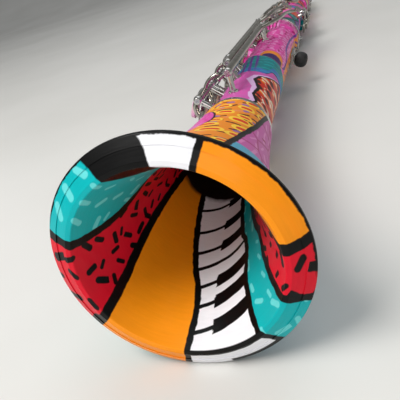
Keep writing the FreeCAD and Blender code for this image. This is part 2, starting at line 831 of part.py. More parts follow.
def lower_joint():
    bottom = lower_base - bell_tenon_length
    ring_low = upper_base - ring_band
    collar_low = upper_base - collar_length
    below_collar = body_radius(collar_low)
    socket_floor = upper_base - middle_tenon_length
    socket = middle_tenon_radius + tenon_clearance
    wood = polygon_turned([
        (lower_bore_mouth, bottom), (bell_tenon_radius, bottom), (bell_tenon_radius, lower_base),
        (lower_bottom_radius - 0.5, lower_base), (lower_bottom_radius, lower_base + 0.5),
        (below_collar, collar_low - 4), (collar_radius, collar_low), (collar_radius, ring_low),
        (collar_radius, upper_base), (socket, upper_base), (socket, socket_floor), (bore_radius, socket_floor),
        (bore_radius, low(bore_flare_start)),
    ])
    groove = cork_groove(*cork_places["bell"])
    return with_tone_holes(wood.cut(groove), "lower").cut(thumb_rest_screws())


def upper_joint():
    bottom = upper_base - middle_tenon_length
    top = barrel_base + barrel_tenon_length
    wood = polygon_turned([
        (bore_radius, bottom), (middle_tenon_radius, bottom), (middle_tenon_radius, upper_base),
        (upper_bottom_radius, upper_base), (upper_top_radius, barrel_base),
        (barrel_tenon_radius, barrel_base), (barrel_tenon_radius, top), (bore_radius, top),
    ])
    for place in ("middle", "barrel"):
        wood = wood.cut(cork_groove(*cork_places[place]))
    return with_tone_holes(wood, "upper").cut(vent_tubes())


def barrel():
    socket = barrel_tenon_radius + tenon_clearance
    top_socket = mouthpiece_tenon_radius + tenon_clearance
    low_floor = barrel_base + barrel_tenon_length
    high_floor = mouthpiece_base - mouthpiece_tenon_length
    low_shoulder, high_shoulder = barrel_base + barrel_ring_band, mouthpiece_base - barrel_ring_band
    middle = (low_shoulder + high_shoulder) / 2
    waist = smooth([
        (barrel_end_radius, low_shoulder), (barrel_waist_radius, middle), (barrel_end_radius, high_shoulder),
    ])
    return turned([
        line((socket, barrel_base), (barrel_end_radius, barrel_base)),
        line((barrel_end_radius, barrel_base), (barrel_end_radius, low_shoulder)),
        waist,
        line((barrel_end_radius, high_shoulder), (barrel_end_radius, mouthpiece_base)),
        line((barrel_end_radius, mouthpiece_base), (top_socket, mouthpiece_base)),
        line((top_socket, mouthpiece_base), (top_socket, high_floor)),
        line((top_socket, high_floor), (bore_radius, high_floor)),
        line((bore_radius, high_floor), (bore_radius, low_floor)),
        line((bore_radius, low_floor), (socket, low_floor)),
        line((socket, low_floor), (socket, barrel_base)),
    ])


# ---------------------------------------------------------------- mouthpiece, reed and ligature
def mouthpiece_outside(height):
    """Radius of the mouthpiece at a height over its shoulder."""
    share = height / beak_start
    return mouthpiece_radius + (mouthpiece_high_radius - mouthpiece_radius) * share


def mouthpiece():
    bottom = mouthpiece_base - mouthpiece_tenon_length
    beak = mouthpiece_base + beak_start
    body = polygon_turned([
        (0, bottom), (mouthpiece_tenon_radius, bottom), (mouthpiece_tenon_radius, mouthpiece_base),
        (mouthpiece_radius - 0.8, mouthpiece_base), (mouthpiece_radius, mouthpiece_base + 0.8),
        (mouthpiece_high_radius, beak), (mouthpiece_narrow_radius, tip - 12),
        (mouthpiece_narrow_radius * 0.74, tip), (0, tip),
    ])
    deep = 40.0
    front_drop = Part.makePolygon([
        Vec(mouthpiece_high_radius + 0.3, -deep, beak), Vec(tip_thickness - table_depth, -deep, tip),
        Vec(deep, -deep, tip + 1), Vec(deep, -deep, beak), Vec(mouthpiece_high_radius + 0.3, -deep, beak),
    ])
    body = body.cut(Part.Face(front_drop).extrude(Vec(0, 2 * deep, 0)))
    table = Part.makeBox(deep, 2 * deep, mouthpiece_length + 2)
    table.translate(Vec(-deep - table_depth, -deep, mouthpiece_base + reed_start - 1.5))
    body = body.cut(table)
    bore = Part.makeCylinder(bore_radius, mouthpiece_tenon_length + beak_start - 12, Vec(0, 0, bottom))
    return body.cut([bore, chamber(), cork_groove(*cork_places["mouthpiece"])])


def chamber():
    """The tapering chamber from the bore to the window under the reed."""
    start = mouthpiece_base + beak_start - 14
    end = tip - 2.2
    half = window_width / 2

    def section(height, front, back):
        points = [Vec(-back, -half, height), Vec(front, -half, height), Vec(front, half, height),
                  Vec(-back, half, height)]
        return Part.makePolygon(points + points[:1])

    return Part.makeLoft([
        section(start, 4.0, 5.0), section(start + 10, 3.0, table_depth + 2),
        section(end, tip_thickness - table_depth - 0.6, table_depth + 2),
    ], True, True)


def reed():
    butt = mouthpiece_base + reed_start
    vamp = mouthpiece_base + beak_start - 3
    end = tip - 0.4
    outline = [
        Vec(-table_depth, 0, butt), Vec(-table_depth - reed_thickness, 0, butt),
        Vec(-table_depth - reed_thickness, 0, vamp), Vec(-table_depth - 0.9, 0, end - 14),
        Vec(-table_depth - 0.25, 0, end), Vec(-table_depth, 0, end),
    ]
    blank = Part.Face(Part.makePolygon(outline + outline[:1]))
    half = reed_width / 2
    blank.translate(Vec(0, -half, 0))
    slab = blank.extrude(Vec(0, reed_width, 0))
    heel = table_depth + reed_thickness + 0.35
    bark = Part.makeCylinder(heel, end - butt + 2, Vec(0, 0, butt - 1))
    plan = [
        Vec(-30, -half + 0.7, butt), Vec(-30, half - 0.7, butt), Vec(-30, half, end - 3), Vec(-30, half - 3, end),
        Vec(-30, -half + 3, end), Vec(-30, -half, end - 3),
    ]
    shape_from_above = Part.Face(Part.makePolygon(plan + plan[:1])).extrude(Vec(30, 0, 0))
    return slab.common(bark).common(shape_from_above)


def ligature_cone(extra, spill=0.0):
    """The mouthpiece's outside over the ligature's height, grown by extra."""
    low_end, high_end = ligature_low - spill, ligature_low + ligature_height + spill
    return Part.makeCone(
        mouthpiece_outside(low_end) + extra, mouthpiece_outside(high_end) + extra,
        high_end - low_end, Vec(0, 0, mouthpiece_base + low_end),
    )


ligature_screw_heights = (
    ligature_low + ligature_screw_inset, ligature_low + ligature_height - ligature_screw_inset
)


def ligature():
    """A plated band round the mouthpiece and reed, with a gap at the back between two lugs a screw."""
    band = ligature_cone(ligature_play + ligature_wall)
    lugs = []
    for height in ligature_screw_heights:
        lug = Part.makeBox(
            lug_reach + 3, 2 * lug_half_width, lug_height,
            Vec(-mouthpiece_radius - lug_reach, -lug_half_width, mouthpiece_base + height - lug_height / 2),
        )
        lugs.append(lug)
    whole = band.fuse(lugs).cut(ligature_cone(ligature_play, 1.0))
    gap = Part.makeBox(
        30, 2 * lug_half_gap, ligature_height + 2,
        Vec(-30, -lug_half_gap, mouthpiece_base + ligature_low - 1),
    )
    windows = [
        Part.makeCylinder(2.6, 30, spot(side, 0, mouthpiece_base + ligature_low + ligature_height / 2), outward(side))
        for side in (-60, -20, 20, 60)
    ]
    whole = whole.cut(gap).cut(windows)
    return whole.cut([ligature_screw_shank(h) for h in ligature_screw_heights])


def ligature_screw_shank(height):
    place = Vec(-mouthpiece_radius - lug_reach / 2 - 0.3, -9, mouthpiece_base + height)
    return Part.makeCylinder(1.0, 14, place, Vec(0, 1, 0))


def ligature_screws():
    """Thumb screws that draw the ligature's lugs together."""
    made = []
    for height in ligature_screw_heights:
        shank = ligature_screw_shank(height)
        place = Vec(-mouthpiece_radius - lug_reach / 2 - 0.3, -9, mouthpiece_base + height)
        collar = Part.makeCylinder(1.9, 3.0, place + Vec(0, 9 - lug_half_width - 3.1, 0), Vec(0, 1, 0))
        knob = Part.makeCylinder(3.1, 3.4, place + Vec(0, -1.2, 0), Vec(0, 1, 0))
        grooves = [
            Part.makeCylinder(0.35, 4, place + Vec(3.2 * math.cos(a), -1.5, 3.2 * math.sin(a)), Vec(0, 1, 0))
            for a in [n * math.pi / 9 for n in range(18)]
        ]
        made.append(joined([shank, collar, knob]).cut(grooves))
    return made


# ---------------------------------------------------------------- small fittings of the body
def vent_tubes():
    """The metal register tube, and the bush that stands out of the thumb hole."""
    made = []
    for name, bore in (("register", 1.6), ("thumb", 3.3)):
        hole = holes[name]
        inner_end = bore_radius - 0.2 if name == "thumb" else bore_radius - 2.6
        body = radial_cylinder(hole.angle, hole.height, inner_end, hole.seat, hole.radius + 0.7)
        made.append(body.cut(radial_cylinder(hole.angle, hole.height, 0, hole.seat + 2, bore)))
    return made


def thumb_rest_inside():
    """Inside radius of the thumb rest's curved plate."""
    return body_radius(low(thumb_rest_height)) + thumb_rest_gap


def thumb_rest():
    """A curved plate screwed to the back, with a hook that the right thumb lifts on."""
    height = low(thumb_rest_height)
    inside = thumb_rest_inside()
    bottom, top = height - thumb_rest_below, height + thumb_rest_above
    plate = tube_of(inside, inside + thumb_rest_plate, bottom, top)
    plate = plate.common(Part.makeBox(40, thumb_rest_width, top - bottom, Vec(-40, -thumb_rest_width / 2, bottom)))
    half = (thumb_rest_width - 1) / 2
    tip_of_hook = -inside - thumb_rest_reach
    hook = Part.makeBox(thumb_rest_reach, 2 * half, hook_thickness, Vec(tip_of_hook, -half, height))
    hook = rounded_edges(
        hook, hook_corner,
        lambda e: abs(e.tangentAt(e.FirstParameter).z) > 0.99 and e.CenterOfMass.x < tip_of_hook + 1,
    )
    return joined([plate, hook]).cut(thumb_rest_screws())


def thumb_rest_cushion():
    """A ball-like rubber sleeve pulled over the hook."""
    start = thumb_rest_inside() + thumb_rest_plate + 0.4
    end = thumb_rest_inside() + thumb_rest_reach + 1.6
    half = (thumb_rest_width - 1) / 2 + cushion_side_wall
    bottom = low(thumb_rest_height) - cushion_wall
    block = Part.makeBox(end - start, 2 * half, hook_thickness + 2 * cushion_wall, Vec(-end, -half, bottom))
    block = block.makeFillet(cushion_round, block.Edges)
    return block.cut(thumb_rest())


def thumb_rest_screws():
    """Two countersunk wood screws through the thumb rest's plate."""
    made = []
    outside = thumb_rest_inside() + thumb_rest_plate
    for offset in (-8.0, 10.0):
        height = low(thumb_rest_height) + offset
        shank = radial_cylinder(180, height, outside - 5.0, outside, 0.9)
        head = Part.makeCone(0.9, 1.9, 1.0, spot(180, outside - 0.8, height), outward(180))
        made.append(joined([shank, head]))
    return made


def needle_springs():
    """Blued needle springs, each pressed through a post and lying along under its key's tube."""
    made = []
    for key in keys:
        if key.axis != BORE_AXIS:
            continue
        way = BORE_AXIS * (-1 if key.spring_from_top else 1)
        start = key.top_post if key.spring_from_top else key.low_post
        anchor = spot(key.angle, key.radius - spring_drop, start) - way * post_radius
        made.append(Part.makeCylinder(spring_radius, spring_length, anchor, way))
    return made


# ---------------------------------------------------------------- assembly
def key_solid(key):
    """The key's metal as one piece, bored for its rod, as it stands at rest."""
    body = joined(key.metal)
    pad_room = key.pads
    if pad_room:
        body = body.cut(pad_room)
    body = body.cut(key.bore)
    solids = sorted(body.Solids, key=lambda s: s.Volume)
    return key.at_rest(solids[-1])


def sprung(joint, springs):
    """A joint's posts, with the holes that the needle springs are pressed into."""
    return [post.cut([s for s in springs if s.BoundBox.intersect(post.BoundBox)]) for post in posts[joint]]


def build_keys():
    low_e, low_f, f_sharp = little_finger_keys()
    right_ring_key()
    right_fork_key()
    left_little_finger_levers(low_e, low_f, f_sharp)
    left_ring_keys()
    thumb_ring_key()
    left_side_keys()
    cross_keys()


def build():
    """All the nodes, by name, in the instrument frame."""
    build_keys()
    springs = needle_springs()
    nodes = {
        "bell": bell(),
        "bell_rim_ring": bell_rim_ring(),
        "bell_socket_ring": socket_ring(bell_ring_seat, bell_length - ring_band, bell_length),
        "lower_joint": lower_joint(),
        "middle_socket_ring": socket_ring(collar_radius, upper_base - ring_band, upper_base),
        "upper_joint": upper_joint(),
        "barrel": barrel(),
        "barrel_rings": [
            socket_ring(barrel_end_radius, barrel_base, barrel_base + barrel_ring_band),
            socket_ring(barrel_end_radius, mouthpiece_base - barrel_ring_band, mouthpiece_base),
        ],
        "mouthpiece": mouthpiece(),
        "reed": reed(),
        "ligature": ligature(),
        "ligature_screws": ligature_screws(),
        "tenon_corks": [cork(*place) for place in cork_places.values()],
        "vent_tubes": vent_tubes(),
        "thumb_rest": thumb_rest(),
        "thumb_rest_screws": thumb_rest_screws(),
        "thumb_rest_cushion": thumb_rest_cushion(),
        "lower_joint_posts": sprung("lower", springs),
        "upper_joint_posts": sprung("upper", springs),
        "hinge_rods": rods,
        "needle_springs": springs,
    }
    for key in keys:
        nodes[key.name] = key_solid(key)
        if key.pads:
            nodes[key.name.replace("_key", "_pad")] = [key.at_rest(p) for p in key.pads]
    return nodes


def main():
    os.makedirs("parts", exist_ok=True)
    for name, made in build().items():
        solids = made if isinstance(made, list) else [made]
        whole = Part.makeCompound([lay_down(s) for s in solids]) if len(solids) > 1 else lay_down(solids[0])
        whole.exportStep(f"parts/{name}.step")
        print(f"{name}: {len(whole.Solids)} solids, {whole.Volume / 1000:.2f} cm3, valid {whole.isValid()}")


main()
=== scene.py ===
import math

import bmesh
import bpy
from mathutils import Matrix, Vector


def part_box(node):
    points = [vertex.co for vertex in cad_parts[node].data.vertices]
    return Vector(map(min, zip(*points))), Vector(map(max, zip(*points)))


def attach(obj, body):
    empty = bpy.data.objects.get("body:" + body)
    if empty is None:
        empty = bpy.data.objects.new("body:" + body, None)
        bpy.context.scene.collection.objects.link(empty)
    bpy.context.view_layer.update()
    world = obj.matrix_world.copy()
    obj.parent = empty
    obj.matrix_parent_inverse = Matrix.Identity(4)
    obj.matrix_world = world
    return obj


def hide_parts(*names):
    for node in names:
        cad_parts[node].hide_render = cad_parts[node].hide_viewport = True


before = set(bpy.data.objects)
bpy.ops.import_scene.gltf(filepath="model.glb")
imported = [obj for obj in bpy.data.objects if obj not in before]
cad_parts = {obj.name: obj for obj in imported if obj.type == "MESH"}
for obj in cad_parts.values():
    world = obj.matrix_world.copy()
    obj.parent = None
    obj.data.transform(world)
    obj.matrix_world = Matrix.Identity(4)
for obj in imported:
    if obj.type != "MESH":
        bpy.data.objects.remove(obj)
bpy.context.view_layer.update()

# A painted clarinet on its side.  The bore is the Y axis, with the bell at -Y, and Z is up.
# Round the bore, an angle is counted from +Z towards +X, in degrees.  Shader sizes are in millimetres.
MM = 1000.0


def front_of(node):
    """The Y where a CAD node starts, in millimetres."""
    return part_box(node)[0][1] * MM


def back_of(node):
    """The Y where a CAD node ends, in millimetres."""
    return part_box(node)[1][1] * MM


def radius_of(node):
    """The largest radius of a CAD node that is round about the bore, in millimetres."""
    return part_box(node)[1][0] * MM


rim_radius = radius_of("bell_rim_ring")
rim_back = back_of("bell_rim_ring")
rim_ring_depth = 5.2    # from the rim ring's back to where it touches the floor
bell_end = back_of("bell_socket_ring")
lower_end = back_of("middle_socket_ring")
barrel_start = front_of("barrel")
barrel_end = back_of("barrel")
lower_length = lower_end - bell_end
touch_floor = 24.6      # the little finger's touch piece lies farther from the bore than this
touch_span = (bell_end + 29.0, bell_end + 44.0)


def rgb(red, green, blue):
    """A display colour, 0 to 255, as scene-linear red, green, blue and alpha."""
    shares = (red / 255, green / 255, blue / 255)
    return (*(v / 12.92 if v <= 0.04045 else ((v + 0.055) / 1.055) ** 2.4 for v in shares), 1.0)


BLACK = rgb(4, 4, 4)
WHITE = rgb(236, 236, 240)
ORANGE = rgb(246, 146, 18)
RED = rgb(214, 14, 40)
TEAL = rgb(0, 172, 176)
PALE_TEAL = rgb(98, 208, 208)
SKY = rgb(84, 172, 204)
PINK = rgb(206, 92, 172)
HOT_PINK = rgb(228, 70, 166)
PALE_PINK = rgb(240, 160, 214)
LILAC = rgb(226, 184, 230)
MAGENTA = rgb(178, 26, 112)
MAROON = rgb(92, 8, 44)
SALMON = rgb(238, 146, 84)
FIELD_ORANGE = rgb(240, 142, 34)
YELLOW = rgb(252, 204, 60)
VERMILION = rgb(222, 62, 26)
MAUVE = rgb(150, 104, 160)
UMBER = rgb(66, 22, 12)
BRICK = rgb(206, 44, 26)
BLUE = rgb(56, 112, 182)
VIOLET = rgb(104, 50, 150)
DEEP_VIOLET = rgb(54, 14, 96)
DEEP_TEAL = rgb(0, 126, 132)
CREAM = rgb(244, 226, 208)
MINT = rgb(170, 204, 170)
THROAT_DARK = rgb(24, 15, 11)


# ---------------------------------------------------------------- numbers worked out by shader nodes
class Num:
    """A number at each point of a surface, worked out by shader nodes."""

    def __init__(self, tree, socket):
        self.tree, self.socket = tree, socket

    def math(self, operation, *values, clamp=False):
        node = self.tree.nodes.new("ShaderNodeMath")
        node.operation = operation
        node.use_clamp = clamp
        for slot, value in zip(node.inputs, values):
            feed(self.tree, slot, value)
        return Num(self.tree, node.outputs[0])

    def __add__(self, other):
        return self.math("ADD", self, other)

    def __sub__(self, other):
        return self.math("SUBTRACT", self, other)

    def __rsub__(self, other):
        return self.math("SUBTRACT", other, self)

    def __mul__(self, other):
        return self.math("MULTIPLY", self, other)

    def __truediv__(self, other):
        return self.math("DIVIDE", self, other)

    __radd__ = __add__
    __rmul__ = __mul__

    def abs(self):
        return self.math("ABSOLUTE", self)

    def fraction(self):
        return self.math("FRACT", self)

    def max(self, other):
        return self.math("MAXIMUM", self, other)

    def below(self, edge, soft=0.14):
        """1 where this is less than edge, and 0 above it, with an edge of that softness."""
        return self.math("MULTIPLY_ADD", self.math("SUBTRACT", edge, self), 0.5 / soft, 0.5, clamp=True)

    def above(self, edge, soft=0.14):
        return self.math("MULTIPLY_ADD", self.math("SUBTRACT", self, edge), 0.5 / soft, 0.5, clamp=True)

    def within(self, low, high, soft=0.14):
        return self.above(low, soft) * self.below(high, soft)

    def profile(self, points, straight=False):
        """A curve through (this, result) points, level beyond its ends."""
        xs, ys = [p[0] for p in points], [p[1] for p in points]
        lowest, span = min(ys), (max(ys) - min(ys)) or 1.0
        share = (self - xs[0]) / (xs[-1] - xs[0])
        node = self.tree.nodes.new("ShaderNodeFloatCurve")
        curve = node.mapping.curves[0]
        while len(curve.points) < len(points):
            curve.points.new(0.5, 0.5)
        for knot, (x, y) in zip(curve.points, points):
            knot.location = ((x - xs[0]) / (xs[-1] - xs[0]), (y - lowest) / span)
            knot.handle_type = "VECTOR" if straight else "AUTO"
        node.mapping.update()
        feed(self.tree, node.inputs["Value"], share)
        return Num(self.tree, node.outputs[0]) * span + lowest


def feed(tree, slot, value):
    """Sets a node's input to a Num, a socket or a constant."""
    if isinstance(value, Num):
        tree.links.new(value.socket, slot)
    elif isinstance(value, bpy.types.NodeSocket):
        tree.links.new(value, slot)
    else:
        slot.default_value = value


def colour_ramp(tree, value, shades, stepped=False):
    """The colour for a value from 0 to 1, read off (position, colour) shades."""
    node = tree.nodes.new("ShaderNodeValToRGB")
    if stepped:
        node.color_ramp.interpolation = "CONSTANT"
    stops = node.color_ramp.elements
    while len(stops) < len(shades):
        stops.new(0.5)
    for n, (position, colour) in enumerate(shades):
        stops[n].position = position
        stops[n].color = colour
    feed(tree, node.inputs[0], value)
    return node.outputs[0]


class Painting:
    """A material whose colour is laid on in coats, each through a mask."""

    def __init__(self, name, ground):
        self.material = bpy.data.materials.new(name)
        self.material.use_nodes = True
        self.tree = self.material.node_tree
        self.tree.nodes.clear()
        self.colour = ground
        place = self.tree.nodes.new("ShaderNodeTexCoord").outputs["Object"]
        split = self.tree.nodes.new("ShaderNodeSeparateXYZ")
        self.tree.links.new(place, split.inputs[0])
        self.place = place
        self.x, self.y, self.z = [Num(self.tree, split.outputs[n]) * MM for n in range(3)]
        across = self.x * self.x + self.z * self.z
        self.radius = across.math("SQRT", across)
        self.angle = self.x.math("ARCTAN2", self.x, self.z) * math.degrees(1.0)

    def vector(self, u, v, w=0.0):
        node = self.tree.nodes.new("ShaderNodeCombineXYZ")
        for slot, value in zip(node.inputs, (u, v, w)):
            feed(self.tree, slot, value)
        return node.outputs[0]

    def noise(self, size, detail=2.0, where=None, rough=0.5):
        """Smooth random variation from -0.5 to 0.5, in lumps of about that size in millimetres."""
        node = self.tree.nodes.new("ShaderNodeTexNoise")
        node.inputs["Scale"].default_value = MM / size if where is None else 1.0 / size
        node.inputs["Detail"].default_value = detail
        node.inputs["Roughness"].default_value = rough
        self.tree.links.new(self.place if where is None else where, node.inputs["Vector"])
        return Num(self.tree, node.outputs["Fac"]) - 0.5

    def apart(self, turn, other):
        """How far apart two angles are, in millimetres round the surface."""
        return (turn - other).abs() * self.radius * math.radians(1.0)

    def mixed(self, below, above, mask):
        node = self.tree.nodes.new("ShaderNodeMix")
        node.data_type = "RGBA"
        feed(self.tree, node.inputs[0], mask)
        feed(self.tree, node.inputs[6], below)
        feed(self.tree, node.inputs[7], above)
        return node.outputs[2]

    def coat(self, colour, mask):
        self.colour = self.mixed(self.colour, colour, mask)

    def strokes(self, u, v, cell, length, width, lean=0.0, spread=180.0, seed=0.0, keep=1.0):
        """Short brush strokes, one in each cell of a loose grid of u and v, turned at random."""
        cells = self.tree.nodes.new("ShaderNodeTexVoronoi")
        cells.voronoi_dimensions = "2D"
        cells.inputs["Scale"].default_value = 1.0
        cells.inputs["Randomness"].default_value = 0.62
        scaled_u, scaled_v = u / cell[0] + seed, v / cell[1] + seed * 1.7
        self.tree.links.new(self.vector(scaled_u, scaled_v), cells.inputs["Vector"])
        middle = self.tree.nodes.new("ShaderNodeSeparateXYZ")
        self.tree.links.new(cells.outputs["Position"], middle.inputs[0])
        chance = self.tree.nodes.new("ShaderNodeSeparateColor")
        self.tree.links.new(cells.outputs["Color"], chance.inputs[0])
        turn_by = Num(self.tree, chance.outputs[0]) * math.radians(spread) + math.radians(lean - spread / 2)
        along_u = (scaled_u - Num(self.tree, middle.outputs[0])) * cell[0]
        along_v = (scaled_v - Num(self.tree, middle.outputs[1])) * cell[1]
        cosine, sine = turn_by.math("COSINE", turn_by), turn_by.math("SINE", turn_by)
        along = along_u * cosine + along_v * sine
        aside = along_v * cosine - along_u * sine
        size = Num(self.tree, chance.outputs[1]) * 0.5 + 0.75
        over = (along.abs() - size * (length - width) * 0.5).max(0.0)
        distance = over * over + aside * aside
        stroke = distance.math("SQRT", distance).below(size * width * 0.5)
        return stroke * Num(self.tree, chance.outputs[2]).below(keep, 0.001) if keep < 1 else stroke

    def finish(self, roughness=0.42, coat=0.1, relief=0.22, streak=0.12):
        """Adds brush streaks to the colour and turns it into a varnished, hand-painted surface."""
        round_way = self.angle * self.radius * math.radians(1.0)
        hairs = self.noise(1.0, 3.0, self.vector(round_way * 0.12, self.y * 1.1, self.radius * 1.1))
        blotch = self.noise(9.0, 2.0)
        shade = self.tree.nodes.new("ShaderNodeHueSaturation")
        feed(self.tree, shade.inputs["Value"], 1.0 + hairs * streak + blotch * streak * 0.8)
        feed(self.tree, shade.inputs["Color"], self.colour)
        shader = self.tree.nodes.new("ShaderNodeBsdfPrincipled")
        self.tree.links.new(shade.outputs[0], shader.inputs["Base Color"])
        feed(self.tree, shader.inputs["Roughness"], roughness + blotch * 0.16)
        shader.inputs["Specular IOR Level"].default_value = 0.12
        shader.inputs["Coat Weight"].default_value = coat
        shader.inputs["Coat Roughness"].default_value = 0.09
        bump = self.tree.nodes.new("ShaderNodeBump")
        bump.inputs["Strength"].default_value = relief
        bump.inputs["Distance"].default_value = 0.0002
        feed(self.tree, bump.inputs["Height"], hairs + blotch * 0.6)
        self.tree.links.new(bump.outputs[0], shader.inputs["Normal"])
        end = self.tree.nodes.new("ShaderNodeOutputMaterial")
        self.tree.links.new(shader.outputs[0], end.inputs["Surface"])
        return self.material


# ---------------------------------------------------------------- patterns that several fields share
def dashed_red(p, u, v, mask, seed=0.0):
    p.coat(RED, mask)
    p.coat(BLACK, mask * p.strokes(u, v, (6.2, 5.8), 4.6, 1.85, lean=70, spread=150, seed=seed))


def stroked_teal(p, u, v, mask, seed=3.0):
    p.coat(TEAL, mask)
    p.coat(PALE_TEAL, mask * p.strokes(u, v, (7.0, 7.4), 4.6, 1.7, lean=80, spread=120, seed=seed))


def eyed_orange(p, u, v, mask):
    """Yellow ovals with a vermilion middle on orange, with mauve dabs and dark dashes between them."""
    p.coat(FIELD_ORANGE, mask)
    p.coat(SALMON, mask * p.strokes(u, v, (7.0, 6.4), 6.4, 1.6, lean=20, spread=60, seed=11.0, keep=0.5))
    p.coat(UMBER, mask * p.strokes(u, v, (9.0, 8.6), 6.6, 1.4, lean=20, spread=70, seed=29.0, keep=0.9))
    p.coat(MAUVE, mask * p.strokes(u, v, (8.6, 8.0), 4.2, 2.2, lean=10, spread=90, seed=17.0, keep=0.6))
    p.coat(YELLOW, mask * p.strokes(u, v, (10.4, 10.8), 9.4, 5.8, lean=12, spread=30, seed=5.0))
    p.coat(VERMILION, mask * p.strokes(u, v, (10.4, 10.8), 6.4, 2.6, lean=12, spread=30, seed=5.0))


def lined_pink(p, u, v, mask, ground=PINK):
    """Soft pink with paler streaks, magenta outlines of long triangles and a few magenta ovals."""
    p.coat(ground, mask)
    p.coat(PALE_PINK, mask * p.strokes(u, v, (5.0, 9.0), 8.0, 1.3, lean=80, spread=40, seed=7.0) * 0.5)
    cells = p.tree.nodes.new("ShaderNodeTexVoronoi")
    cells.voronoi_dimensions = "2D"
    cells.feature = "DISTANCE_TO_EDGE"
    cells.inputs["Scale"].default_value = 1.0
    p.tree.links.new(p.vector(u / 11.0, v / 19.0), cells.inputs["Vector"])
    p.coat(MAGENTA, mask * Num(p.tree, cells.outputs["Distance"]).below(0.045, 0.02) * 0.8)
    p.coat(MAGENTA, mask * p.strokes(u, v, (11.0, 17.0), 4.6, 2.0, lean=20, spread=60, seed=21.0, keep=0.6))


def mottled_pink(p, u, v, mask):
    p.coat(HOT_PINK, mask)
    p.coat(PALE_PINK, mask * p.strokes(u, v, (5.6, 5.4), 4.2, 2.4, lean=40, spread=120, seed=13.0) * 0.8)
    p.coat(MAGENTA, mask * p.strokes(u, v, (8.2, 9.0), 4.6, 1.4, lean=70, spread=120, seed=31.0, keep=0.6))


def patchwork(p, u, v, mask, cell, seed):
    """Large irregular patches of bright colours inside black outlines."""
    where = p.vector(u / cell + seed, v / (cell * 1.5) + seed)
    tint = p.tree.nodes.new("ShaderNodeTexVoronoi")
    edge = p.tree.nodes.new("ShaderNodeTexVoronoi")
    for cells in (tint, edge):
        cells.voronoi_dimensions = "2D"
        cells.inputs["Scale"].default_value = 1.0
        p.tree.links.new(where, cells.inputs["Vector"])
    edge.feature = "DISTANCE_TO_EDGE"
    chance = p.tree.nodes.new("ShaderNodeSeparateColor")
    p.tree.links.new(tint.outputs["Color"], chance.inputs[0])
    colours = (RED, ORANGE, VIOLET, HOT_PINK, BLUE, VERMILION, DEEP_TEAL, YELLOW)
    shades = [(n / len(colours), colour) for n, colour in enumerate(colours)]
    p.coat(colour_ramp(p.tree, chance.outputs[0], shades, stepped=True), mask)
    p.coat(CREAM, mask * p.strokes(u, v, (6.0, 6.5), 4.0, 1.2, lean=60, spread=120, seed=seed) * 0.35)
    p.coat(BLACK, mask * Num(p.tree, edge.outputs["Distance"]).below(0.05, 0.015))


# ---------------------------------------------------------------- the bell
lip_radius = 31.3       # where the rim's face turns into the mouth
face_width = rim_radius - lip_radius
seam = 60.0             # the angle at which the count round the mouth starts again

# Where one colour ends and the next starts, round the mouth, against the way in from the lip; the rim's
# face has negative depths.  Each is a list of (depth, angle) and the width of the black line along it.
orange_red = ([(-8.3, 83.5), (0, 85), (5, 78), (10, 71), (20, 66), (29, 70), (38, 85), (75, 120)], 3.6)
red_teal = ([(-8.3, 112.5), (0, 114), (10, 115), (20, 114), (29, 112), (38, 118), (75, 126)], 2.8)
teal_keys = ([(-8.3, 140), (0, 142), (10, 143.5), (20, 143.5), (35, 139), (42, 144), (75, 148)], 2.1)
keys_orange = ([(-8.3, 190), (0, 188.5), (10, 187), (20, 188.5), (30, 196), (50, 210), (75, 226)], 2.2)
orange_dashes = ([(-8.3, 238.3), (0, 241), (10, 245), (20, 251), (40, 264.5), (60, 274), (75, 277)], 3.4)
dashes_teal = ([(-8.3, 291), (0, 290), (12, 291), (20, 295), (27, 303), (32, 318), (35, 344), (75, 360)], 3.0)
teal_black = ([(-8.3, 333), (0, 337), (10, 342), (20, 350), (35, 358), (75, 364)], 0.0)
black_white = ([(-8.3, 360.5), (0, 365), (10, 367), (75, 372)], 0.0)
white_orange = ([(-8.3, 385.5), (0, 385.5), (75, 392)], 2.0)

key_gaps = (5.4, 14.6, 22.6, 31.0, 39.0, 50.0, 63.5)    # lines between the piano's white keys
key_without_black = 31.0
throat_depth = 68.0     # past this depth the bore is coloured near black
key_slope = 0.155       # the keys lean, in millimetres of depth for a degree
key_side = 187.0        # the angle at which the gaps are counted
key_tips = 173.5        # the angle at which the black keys end


def mouth_depth(p):
    """How far a point is in from the lip, along the surface; the rim's face counts back from it."""
    inside = p.y.profile([(0, 0), (14, 15.3), (33, 35), (52, 54.4), (71, 73.6), (89, 92)])
    face = p.radius * -1 + lip_radius
    on_face = p.radius.above(lip_radius + 0.05, 0.05)
    return inside + on_face * (face - inside)


def round_mouth(p):
    """The angle, counted on from the seam, with a hand's unsteadiness."""
    shaky = p.angle + p.noise(5.0, 3.0) * 1.9
    return shaky + shaky.below(seam, 0.001) * 360.0


def ink(p, turn, boundary, wobble):
    """The black line along a boundary between two colours."""
    points, width = boundary
    return p.apart(turn, p.depth.profile(points)).below(wobble * 0.9 + width * 0.5)


